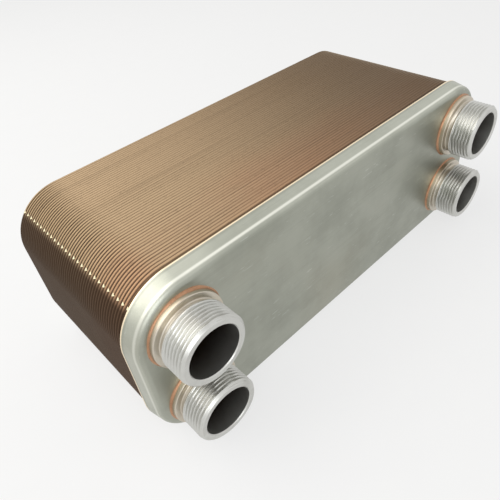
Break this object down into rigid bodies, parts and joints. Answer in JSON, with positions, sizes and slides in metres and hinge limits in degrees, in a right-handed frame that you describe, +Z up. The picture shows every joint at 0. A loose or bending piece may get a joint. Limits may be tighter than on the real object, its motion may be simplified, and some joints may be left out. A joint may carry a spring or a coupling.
{
  "type": "plate heat exchanger",
  "caption": "Copper-brazed stack of pressed plates with folded rims between two covers, with four threaded connections, lying on one long side.",
  "frame": {"origin": "on the surface that it lies on, under the middle of its box", "axes": "+X along the plates, -Y out of the threaded connections, +Z up"},
  "size_m": [0.332, 0.159, 0.12],
  "materials": {
    "channel_plate": "satin",
    "cover": "satin",
    "connection": "satin"
  },
  "bodies": {
    "root": {"front_cover": "cover", "back_cover": "cover", "connection_1": "connection", "connection_2": "connection", "connection_3": "connection", "connection_4": "connection", "channel_plate_01": "channel_plate", "channel_plate_02": "channel_plate", "channel_plate_03": "channel_plate", "channel_plate_04": "channel_plate", "channel_plate_05": "channel_plate", "channel_plate_06": "channel_plate", "channel_plate_07": "channel_plate", "channel_plate_08": "channel_plate", "channel_plate_09": "channel_plate", "channel_plate_10": "channel_plate", "channel_plate_11": "channel_plate", "channel_plate_12": "channel_plate", "channel_plate_13": "channel_plate", "channel_plate_14": "channel_plate", "channel_plate_15": "channel_plate", "channel_plate_16": "channel_plate", "channel_plate_17": "channel_plate", "channel_plate_18": "channel_plate", "channel_plate_19": "channel_plate", "channel_plate_20": "channel_plate", "channel_plate_21": "channel_plate", "channel_plate_22": "channel_plate", "channel_plate_23": "channel_plate", "channel_plate_24": "channel_plate", "channel_plate_25": "channel_plate", "channel_plate_26": "channel_plate", "channel_plate_27": "channel_plate", "channel_plate_28": "channel_plate", "channel_plate_29": "channel_plate", "channel_plate_30": "channel_plate", "channel_plate_31": "channel_plate", "channel_plate_32": "channel_plate", "channel_plate_33": "channel_plate", "channel_plate_34": "channel_plate", "channel_plate_35": "channel_plate", "channel_plate_36": "channel_plate", "channel_plate_37": "channel_plate", "channel_plate_38": "channel_plate", "channel_plate_39": "channel_plate", "channel_plate_40": "channel_plate", "channel_plate_41": "channel_plate", "channel_plate_42": "channel_plate", "channel_plate_43": "channel_plate", "channel_plate_44": "channel_plate", "channel_plate_45": "channel_plate", "channel_plate_46": "channel_plate", "channel_plate_47": "channel_plate", "channel_plate_48": "channel_plate", "channel_plate_49": "channel_plate", "channel_plate_50": "channel_plate", "channel_plate_51": "channel_plate", "channel_plate_52": "channel_plate", "channel_plate_53": "channel_plate", "channel_plate_54": "channel_plate"}
  },
  "joints": []
}
